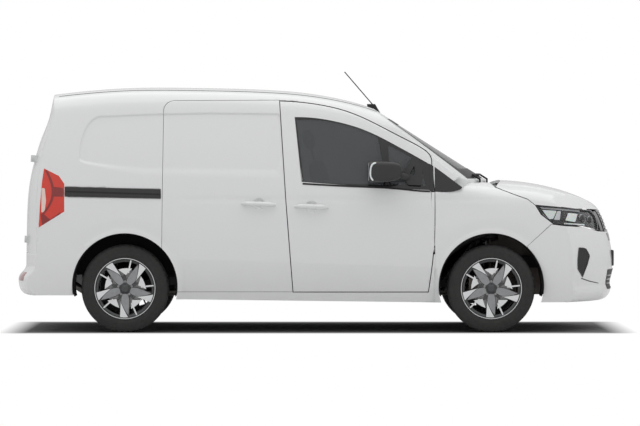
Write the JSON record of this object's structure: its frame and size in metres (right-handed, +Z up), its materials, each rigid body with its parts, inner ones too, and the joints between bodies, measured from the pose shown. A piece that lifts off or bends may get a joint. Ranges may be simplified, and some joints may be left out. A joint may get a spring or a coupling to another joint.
{
  "type": "panel van",
  "caption": "Compact panel van with a closed load space, hinged rear doors, a sliding side door, hinged cab doors and bonnet, and steered front wheels.",
  "frame": {"origin": "on the ground, under the middle of the van's box", "axes": "+X forward along the van, +Y to its left, +Z up"},
  "size_m": [4.4925, 2.15, 1.9536],
  "materials": {
    "white_paint": "gloss white paint",
    "underbody_paint": "satin dark underbody paint",
    "black_plastic": "grained black plastic",
    "window_glass": "tinted glass",
    "lamp_glass": "clear lamp cover",
    "lamp_red": "red lamp lens",
    "cast_metal": "raw casting",
    "steel": "plain steel",
    "alloy": "machined and dark painted alloy",
    "tyre_rubber": "black tyre",
    "seat_fabric": "dark woven seat cloth"
  },
  "bodies": {
    "body": {"body_side_right": "white_paint", "body_side_left": "white_paint", "roof_panel": "white_paint", "floor_pan": "underbody_paint", "bulkhead": "underbody_paint", "firewall": "underbody_paint", "scuttle": "black_plastic", "wing_right": "white_paint", "wing_left": "white_paint", "front_bumper": "white_paint", "front_plate": "black_plastic", "grille": "black_plastic", "headlamps": "lamp_glass", "windscreen": "window_glass", "wipers": "black_plastic", "aerial": "black_plastic", "sliding_door": "white_paint", "slide_rail": "black_plastic", "rear_bumper": "white_paint", "tail_lamps": "lamp_red", "arch_liners": "black_plastic", "chassis_rails": "underbody_paint", "engine": "cast_metal", "front_subframe": "underbody_paint", "front_springs": "steel", "rear_axle": "underbody_paint", "fuel_tank": "black_plastic", "exhaust": "steel", "dashboard": "black_plastic", "steering_wheel": "black_plastic", "seat_right": "seat_fabric", "seat_left": "seat_fabric"},
    "bonnet": {"bonnet": "white_paint"},
    "front_door_right": {"front_door_right": "white_paint", "front_glass_right": "window_glass", "mirror_right": "black_plastic"},
    "front_door_left": {"front_door_left": "white_paint", "front_glass_left": "window_glass", "mirror_left": "black_plastic"},
    "rear_door_left": {"rear_door_left": "white_paint"},
    "rear_door_right": {"rear_door_right": "white_paint"},
    "knuckle_left": {"knuckle_left": "cast_metal"},
    "knuckle_right": {"knuckle_right": "cast_metal"},
    "wheel_front_left": {"tyre_front_left": "tyre_rubber", "rim_front_left": "alloy"},
    "wheel_front_right": {"tyre_front_right": "tyre_rubber", "rim_front_right": "alloy"},
    "wheel_rear_left": {"tyre_rear_left": "tyre_rubber", "rim_rear_left": "alloy"},
    "wheel_rear_right": {"tyre_rear_right": "tyre_rubber", "rim_rear_right": "alloy"}
  },
  "joints": [
    {"name": "bonnet_hinge", "type": "hinge", "parent": "body", "child": "bonnet", "pos_m": [1.312, 0, 1.082], "axis": [0, -1, 0], "range_deg": [0, 50]},
    {"name": "front_door_right_hinge", "type": "hinge", "parent": "body", "child": "front_door_right", "pos_m": [0.90002, -0.89935, 0.76], "axis": [0, 0, 1], "range_deg": [0, 68]},
    {"name": "front_door_left_hinge", "type": "hinge", "parent": "body", "child": "front_door_left", "pos_m": [0.90002, 0.89935, 0.76], "axis": [0, 0, -1], "range_deg": [0, 68]},
    {"name": "rear_door_right_hinge", "type": "hinge", "parent": "body", "child": "rear_door_right", "pos_m": [-2.1502, -0.742, 0.99], "axis": [0.0797, 0, 0.9968], "range_deg": [0, 180]},
    {"name": "rear_door_left_hinge", "type": "hinge", "parent": "body", "child": "rear_door_left", "pos_m": [-2.1502, 0.742, 0.99], "axis": [-0.0797, 0, -0.9968], "range_deg": [0, 180]},
    {"name": "steering_left", "type": "hinge", "parent": "body", "child": "knuckle_left", "pos_m": [1.287, 0.716, 0.226], "axis": [0, -0.1892, 0.9819], "range_deg": [-33, 33]},
    {"name": "steering_right", "type": "hinge", "parent": "body", "child": "knuckle_right", "pos_m": [1.287, -0.716, 0.226], "axis": [0, 0.1892, 0.9819], "range_deg": [-33, 33]},
    {"name": "wheel_front_left_spin", "type": "hinge", "parent": "knuckle_left", "child": "wheel_front_left", "pos_m": [1.287, 0.792, 0.326], "axis": [0, 1, 0], "continuous": true},
    {"name": "wheel_front_right_spin", "type": "hinge", "parent": "knuckle_right", "child": "wheel_front_right", "pos_m": [1.287, -0.792, 0.326], "axis": [0, 1, 0], "continuous": true},
    {"name": "wheel_rear_left_spin", "type": "hinge", "parent": "body", "child": "wheel_rear_left", "pos_m": [-1.429, 0.792, 0.326], "axis": [0, 1, 0], "continuous": true},
    {"name": "wheel_rear_right_spin", "type": "hinge", "parent": "body", "child": "wheel_rear_right", "pos_m": [-1.429, -0.792, 0.326], "axis": [0, 1, 0], "continuous": true}
  ],
  "couplings": [
    {"joint": "steering_right", "follows": "steering_left", "ratio": 1}
  ]
}
